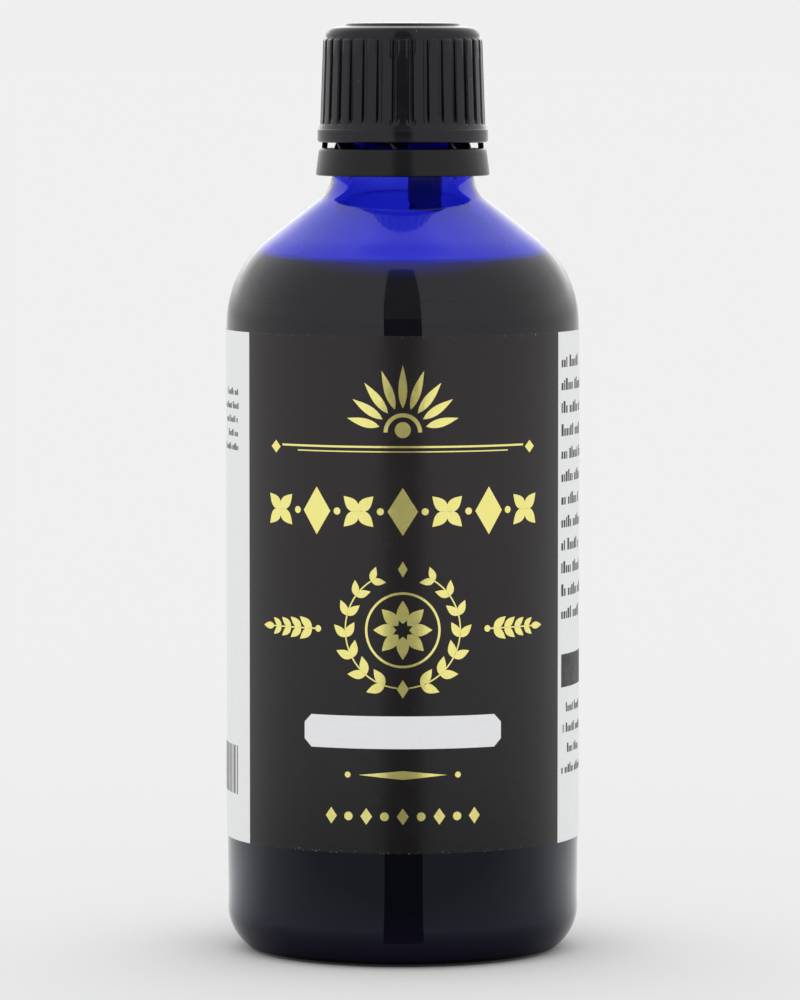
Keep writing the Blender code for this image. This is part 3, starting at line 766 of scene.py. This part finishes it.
# Label
def make_label_paper():
    """A closed strip of paper, dark in front and white at its two ends."""
    degrees = sorted({-LABEL_REACH, LABEL_REACH, *DARK_EDGES} | {2.0 * n for n in range(-88, 89)})
    low, high = LABEL_FOOT, LABEL_TOP
    back, bevel = LABEL_RADIUS - 0.06, 0.02
    section = [(back, low + 0.03), (LABEL_RADIUS - bevel, low), (LABEL_RADIUS, low + bevel)]
    section += [(LABEL_RADIUS, low + (high - low) * part / 12) for part in range(1, 12)]
    section += [(LABEL_RADIUS, high - bevel), (LABEL_RADIUS - bevel, high), (back, high - 0.03)]
    points, faces = [], []
    for degree in degrees:
        angle = FRONT + math.radians(degree)
        points += [(r * math.cos(angle) * MM, r * math.sin(angle) * MM, z * MM) for r, z in section]
    count = len(section)
    for column in range(len(degrees) - 1):
        for row in range(count):
            after = (row + 1) % count
            first, second = column * count, (column + 1) * count
            faces.append((first + row, second + row, second + after, first + after))
    faces.append(tuple(range(count)))
    faces.append(tuple(range(len(points) - count, len(points)))[::-1])
    mesh = bpy.data.meshes.new("label_paper")
    mesh.from_pydata(points, [], faces)

    def off_the_dark(spot, normal):
        from_front = (math.degrees(math.atan2(spot.y, spot.x) - FRONT) + 180.0) % 360.0 - 180.0
        return int(not (DARK_EDGES[0] < from_front < DARK_EDGES[1] and faces_out(spot, normal)))

    dark = printed_paper("label_dark", (0.0075, 0.0045, 0.0055), (0.012, 0.008, 0.0095), 0.21, 0.29, 0.6)
    white = printed_paper("label_white", (0.83, 0.845, 0.84), (0.90, 0.91, 0.905), 0.42, 0.52)
    piece(mesh, "bottle", [dark, white], "wrap_label", pick=off_the_dark)


class Print:
    """Flat shapes laid out on the unrolled label, then bent round it as one thin raised layer.

    Places are (across, height), where across is measured on the paper from the middle of the front.
    """

    # Width of the flat strips that follow the bend, and the hair between paper and print
    STRIP = 0.75
    CLEARANCE = 0.002

    def __init__(self, name, lift=0.02):
        self.name = name
        self.lift = lift
        self.build = bmesh.new()

    def shape(self, corners):
        """A filled outline."""
        self.build.faces.new([self.build.verts.new((across, height, 0.0)) for across, height in corners])

    def disc(self, across, height, radius, sides=20):
        self.shape([
            (across + radius * math.cos(TAU * n / sides), height + radius * math.sin(TAU * n / sides))
            for n in range(sides)
        ])

    def ring(self, across, height, outer, inner, start=0.0, sweep=360.0, sides=64):
        """A whole ring, or the part of one that begins at start and goes on for sweep."""
        steps = [math.radians(start + sweep * n / sides) for n in range(sides + 1)]
        for first, second in zip(steps, steps[1:]):
            self.shape([
                (across + r * math.cos(a), height + r * math.sin(a))
                for r, a in ((inner, first), (outer, first), (outer, second), (inner, second))
            ])

    def bar(self, low_across, high_across, low, high):
        self.shape([(low_across, low), (high_across, low), (high_across, high), (low_across, high)])

    def lozenge(self, across, height, half_width, half_height):
        self.shape([
            (across - half_width, height), (across, height - half_height),
            (across + half_width, height), (across, height + half_height),
        ])

    def leaf(self, across, height, length, half_width, turn):
        """A pointed leaf that starts at a place and grows in the direction of turn."""
        angle = math.radians(turn)
        edge = [(length * n / 8, half_width * math.sin(math.pi * (n / 8) ** 0.8)) for n in range(9)]
        outline = edge + [(along, -side) for along, side in edge[-2:0:-1]]
        self.shape([
            (across + along * math.cos(angle) - side * math.sin(angle),
             height + along * math.sin(angle) + side * math.cos(angle))
            for along, side in outline
        ])

    def done(self, material):
        """Cut the shapes into strips, give them their thickness and bend them round the label."""
        build = self.build
        edges = [vert.co.x for vert in build.verts]
        place = math.floor(min(edges)) + 0.25
        while place < max(edges):
            everything = build.verts[:] + build.edges[:] + build.faces[:]
            bmesh.ops.bisect_plane(build, geom=everything, plane_co=(place, 0, 0), plane_no=(1, 0, 0))
            place += self.STRIP
        bmesh.ops.triangulate(build, faces=[face for face in build.faces if len(face.verts) > 4])
        bmesh.ops.recalc_face_normals(build, faces=build.faces)
        for face in build.faces:
            if face.normal.z < 0.0:
                face.normal_flip()
        top = bmesh.ops.extrude_face_region(build, geom=build.faces[:], use_keep_orig=True)
        raised = {part for part in top["geom"] if isinstance(part, bmesh.types.BMVert)}
        for vert in build.verts:
            radius = LABEL_RADIUS + (self.lift if vert in raised else self.CLEARANCE)
            angle = FRONT + vert.co.x / LABEL_RADIUS
            height = vert.co.y
            vert.co = (radius * math.cos(angle) * MM, radius * math.sin(angle) * MM, height * MM)
        mesh = bpy.data.meshes.new(self.name)
        build.to_mesh(mesh)
        build.free()
        piece(mesh, "bottle", [material])


def sunburst(gold, foot):
    """Nine leaves that fan out over a half ring, with two rules under them."""
    for ray in range(-4, 5):
        turn = math.radians(90.0 + 19.0 * ray)
        across, height = 3.0 * math.cos(turn), foot + 3.0 * math.sin(turn)
        gold.leaf(across, height, 5.4 - 0.28 * abs(ray), 0.55, math.degrees(turn))
    gold.ring(0.0, foot, 2.4, 1.9, 0.0, 180.0, 32)
    gold.disc(0.0, foot + 0.3, 1.0)
    gold.bar(-16.5, 16.5, foot - 1.95, foot - 1.7)
    gold.bar(-14.0, 14.0, foot - 2.5, foot - 2.35)
    for side in (-1, 1):
        gold.lozenge(side * 17.6, foot - 2.1, 0.8, 0.8)


def flower_band(gold, middle):
    """Four-petalled flowers and lozenges by turns, with dots between them."""
    pitch = 5.6
    for number in range(-3, 4):
        if number % 2:
            for petal in range(4):
                gold.leaf(pitch * number, middle, 2.7, 0.75, 45.0 + 90.0 * petal)
        else:
            gold.lozenge(pitch * number, middle, 1.9, 3.0)
    for number in range(-3, 3):
        gold.disc(pitch * (number + 0.5), middle, 0.45)


def leaf_pair(gold, side, across, height, turn, length, spread=38.0):
    """Two leaves that part from a stem. side is -1 for the mirrored half of the ornament."""
    for lean in (spread, -spread):
        heading = turn + lean if side > 0 else 180.0 - turn - lean
        gold.leaf(side * across, height, length, 0.24 * length, heading)


def wreath(gold, middle):
    """An eight-petalled flower in a ring, with leaves on a round stem that is open at the top."""
    curve, half_stem = 7.3, 0.09
    for petal in range(8):
        turn = TAU * petal / 8
        across, height = 0.8 * math.cos(turn), middle + 0.8 * math.sin(turn)
        gold.leaf(across, height, 2.9, 0.78, math.degrees(turn))
    gold.ring(0.0, middle, 4.75, 4.45)
    for start in (-84.0, 118.0):
        gold.ring(0.0, middle, curve + half_stem, curve - half_stem, start, 146.0)
    for side in (-1, 1):
        for step in range(7):
            turn = math.radians(-72.0 + 21.5 * step)
            across, height = curve * math.cos(turn), middle + curve * math.sin(turn)
            leaf_pair(gold, side, across, height, math.degrees(turn) + 90.0, 2.5 - 0.1 * step)
    gold.lozenge(0.0, middle - curve - 0.1, 0.75, 1.15)
    gold.lozenge(0.0, middle + curve + 0.3, 0.6, 1.0)


def sprigs(gold, middle):
    """A straight twig at either side of the wreath."""
    root, tip, half_stem = 11.2, 17.9, 0.09
    for side in (-1, 1):
        left, right = sorted((side * root, side * tip))
        gold.bar(left, right, middle - half_stem, middle + half_stem)
        gold.disc(side * 11.0, middle, 0.42)
        for step in range(4):
            leaf_pair(gold, side, 11.9 + 1.6 * step, middle, 0.0, 2.3 - 0.2 * step)
        gold.leaf(side * tip, middle, 2.0, 0.45, 0.0 if side > 0 else 180.0)


def bead_row(gold, middle):
    """Lozenges and dots by turns."""
    pitch = 2.3
    for number in range(-4, 5):
        if number % 2:
            gold.disc(pitch * number, middle, 0.55)
        else:
            gold.lozenge(pitch * number, middle, 0.75, 1.05)


def make_gold():
    """A made-up ornament, from its top to its foot."""
    wreath_middle, flourish = 42.8, 24.6
    gold = Print("label_foil")
    sunburst(gold, foot=67.5)
    flower_band(gold, middle=57.6)
    wreath(gold, wreath_middle)
    sprigs(gold, wreath_middle)
    gold.lozenge(0.0, flourish, 5.6, 0.55)
    for side in (-1, 1):
        gold.disc(side * 7.0, flourish, 0.38)
    bead_row(gold, middle=19.4)
    gold.done(foil())


def make_pale_plate():
    """A bare pale bar with cut corners."""
    half, low, high, cut = 13.0, 27.9, 32.0, 1.0
    pale = Print("label_pale_print", 0.012)
    pale.shape([
        (-half, low + cut), (cut - half, low), (half - cut, low), (half, low + cut),
        (half, high - cut), (half - cut, high), (cut - half, high), (-half, high - cut),
    ])
    pale.done(ink("pale_ink", (0.82, 0.83, 0.85), (0.90, 0.90, 0.91)))


def row_of_marks(dark, across, height, length, size):
    """A row of small upright marks, grouped like words but with no letters in it."""
    place, count = across, 0
    while place < across + length - 0.3 * size:
        tall = size * (0.62, 1.0, 0.62, 0.62, 0.85)[(count * 7 + round(height)) % 5]
        wide = size * (0.34, 0.22, 0.4, 0.3)[(count * 5 + round(height)) % 4]
        dark.bar(place, place + wide, height, height + tall)
        count += 1
        place += wide + size * (0.16 if (count + round(height)) % 6 else 0.55)


def make_dark_print():
    """Rows of marks on both white ends, one dark bar on the right and plain stripes on the left."""
    right_margin, right_middle, left_margin, stripes = 24.7, 29.6, -26.4, -36.4
    dark = Print("label_dark_print", 0.008)
    for row, length in enumerate((7.0, 9.2, 9.0, 8.4, 9.5, 8.8, 7.9, 9.4, 8.0, 9.1, 8.9, 7.6)):
        row_of_marks(dark, right_margin, 75.0 - 2.9 * row, length, 1.5)
    dark.bar(right_margin, 36.0, 34.4, 38.6)
    for row, half in enumerate((3.4, 4.4, 3.0, 4.8)):
        row_of_marks(dark, right_middle - half, 31.2 - 2.6 * row, 2.0 * half, 1.2)
    for row, length in enumerate((5.0, 6.2, 5.6, 4.4, 6.6)):
        row_of_marks(dark, left_margin - length, 71.4 - 1.75 * row, length, 0.9)
    for number in range(16):
        place = stripes + 0.62 * number
        dark.bar(place, place + (0.26, 0.4, 0.16)[number % 3], 20.6, 26.8)
    dark.done(ink("dark_ink", (0.018, 0.018, 0.02), (0.04, 0.04, 0.043)))


# Studio
def plain_card(name, level):
    """A matt grey without any gloss of its own."""
    return Finish(name, Roughness=1.0, Specular_IOR_Level=0.0, Base_Color=(level, level, level, 1.0)).material


def table_card():
    """Matt white, with painted shade that greys it in front, a painted shadow of the bottle where it stands,
    and glowing behind it.
    """
    finish = Finish("table_card", Roughness=1.0, Specular_IOR_Level=0.0)
    depth = finish.along("Y")
    reach = finish.node("ShaderNodeVectorMath", {"operation": "LENGTH"}, Vector=finish.place).outputs["Value"]
    # Painted shade greys the table towards the front, and a painted shadow darkens it where the bottle
    # stands.
    color = finish.blend(finish.span(depth, -80.0 * MM, 100.0 * MM), (TABLE_FRONT_SHADE,) * 3, (FLOOR_WHITE,) * 3)
    near, in_front = finish.span(reach, 33.0 * MM, 19.0 * MM), finish.span(depth, 0.0, -15.0 * MM)
    shade = finish.combine("MULTIPLY", near, in_front)
    finish.set("Base Color", finish.blend(shade, color, (TABLE_SHADE,) * 3))
    around, behind = finish.span(reach, 140.0 * MM, 50.0 * MM), finish.span(depth, -6.0 * MM, 50.0 * MM)
    glow = finish.combine("MULTIPLY", behind, around)
    finish.set("Emission Strength", finish.combine("MULTIPLY", glow, TABLE_GLOW))
    return finish.material


def stage_piece(name, corners, material, only_mirrored=True):
    """A flat studio card. Most cards are only there for what the bottle mirrors."""
    mesh = bpy.data.meshes.new(name)
    mesh.from_pydata([(x * MM, y * MM, z * MM) for x, y, z in corners], [], [tuple(range(len(corners)))])
    mesh.materials.append(material)
    thing = bpy.data.objects.new(name, mesh)
    bpy.context.collection.objects.link(thing)
    if only_mirrored:
        for kind in ("camera", "diffuse", "transmission", "shadow", "volume_scatter"):
            setattr(thing, "visible_" + kind, False)


def make_floor():
    far = FLOOR_REACH
    corners = [(-far, -far, 0), (far, -far, 0), (far, far, 0), (-far, far, 0)]
    stage_piece("floor", corners, plain_card("floor_white", FLOOR_WHITE), only_mirrored=False)


def make_gap():
    """The dark gap in front, where the camera looks in, in three bands of height."""
    bands = ("low", 1, 56, 0.36), ("middle", 56, 170, 0.16), ("high", 170, 1200, 0.33)
    for name, low, high, level in bands:
        left = [(-112 - 0.032 * z, -GAP_DISTANCE, z) for z in (high, low)]
        right = [(120 - 0.007 * z, -GAP_DISTANCE, z) for z in (low, high)]
        stage_piece("gap_" + name, left + right, plain_card("gap_grey_" + name, level))


def make_table():
    """What the foot of the bottle mirrors: the table round it, with the gap's reflection in it painted as a
    dark strip in front.
    """
    table_level, strip_level, strip_start = 0.4, 0.8, 24.0

    def curve(radius, start, end):
        turns = [math.radians(turn) for turn in range(start, end, 6 if end > start else -6)]
        return [(radius * math.cos(turn), radius * math.sin(turn), table_level) for turn in turns]

    table = table_card()
    for side, turn in (("right", -90), ("left", 90)):
        half_ring = curve(TABLE_RADIUS, turn, turn + 181) + curve(UNDER_RADIUS, turn + 180, turn - 1)
        stage_piece("near_table_" + side, half_ring, table)
    stage_piece("under_bottle", curve(UNDER_RADIUS, 0, 360), table)

    # Painted reflection of the dark gap in the table, in two strips.
    strips = ("near", strip_start, TABLE_RADIUS, 0.06), ("far", TABLE_RADIUS, GAP_DISTANCE - 1.0, 0.3)
    for name, near, away, level in strips:
        left = [(-3.0 - 0.2076 * (y - strip_start), -y, strip_level) for y in (away, near)]
        right = [(3.3 + 0.2223 * (y - strip_start), -y, strip_level) for y in (near, away)]
        stage_piece("table_gap_" + name, left + right, plain_card("table_gap_grey_" + name, level))


def make_world():
    """A white surround, brighter behind the bottle and darker overhead, and even for matt surfaces."""
    world = bpy.data.worlds.new("studio")
    bpy.context.scene.world = world
    world.use_nodes = True
    tree = world.node_tree
    background = tree.nodes["Background"]
    background.inputs["Color"].default_value = (1.0, 1.0, 1.0, 1.0)

    def ramp(source, low, high, to_low, to_high):
        """Carry a range of a value over to another range, with soft ends."""
        made = tree.nodes.new("ShaderNodeMapRange")
        made.interpolation_type = "SMOOTHSTEP"
        sockets = {"Value": source, "From Min": low, "From Max": high, "To Min": to_low, "To Max": to_high}
        for name, value in sockets.items():
            if isinstance(value, bpy.types.NodeSocket):
                tree.links.new(value, made.inputs[name])
            else:
                made.inputs[name].default_value = value
        return made.outputs["Result"]

    direction = tree.nodes.new("ShaderNodeSeparateXYZ")
    tree.links.new(tree.nodes.new("ShaderNodeTexCoord").outputs["Generated"], direction.inputs["Vector"])

    # Towards the back, right behind the bottle, at the horizon and overhead, then what plain rays see
    level = ramp(direction.outputs["Y"], -0.2, 1.0, STUDIO_LIGHT, BACK_LIGHT)
    level = ramp(direction.outputs["Y"], 0.75, 1.0, level, EDGE_LIGHT)
    level = ramp(direction.outputs["Z"], 0.0, 0.16, STUDIO_LIGHT * FLOOR_WHITE, level)
    level = ramp(direction.outputs["Z"], 0.93, 1.0, level, OVERHEAD_LIGHT)
    rays = tree.nodes.new("ShaderNodeLightPath")
    for kind, plain in (
        ("Is Diffuse Ray", STUDIO_LIGHT),
        ("Is Transmission Ray", STUDIO_LIGHT * FLOOR_WHITE),
        ("Is Camera Ray", BACKDROP_LIGHT),
    ):
        level = ramp(rays.outputs[kind], 0.0, 1.0, level, plain)
    tree.links.new(level, background.inputs["Strength"])


def make_camera():
    lens = bpy.data.cameras.new("camera")
    lens.lens = LENS
    lens.sensor_width = 36.0
    lens.clip_start = 0.01
    lens.clip_end = 100.0
    camera = bpy.data.objects.new("camera", lens)
    camera.location = [place * MM for place in CAMERA_PLACE]
    camera.rotation_euler = (math.radians(CAMERA_TILT), 0.0, 0.0)
    bpy.context.collection.objects.link(camera)
    bpy.context.scene.camera = camera


make_floor()
make_gap()
make_table()
make_world()
make_camera()
make_glass()
make_bitters()
make_ring()
make_cap()
make_liner()
make_insert()
make_label_paper()
make_gold()
make_pale_plate()
make_dark_print()

bpy.context.scene.view_settings.view_transform = "Standard"
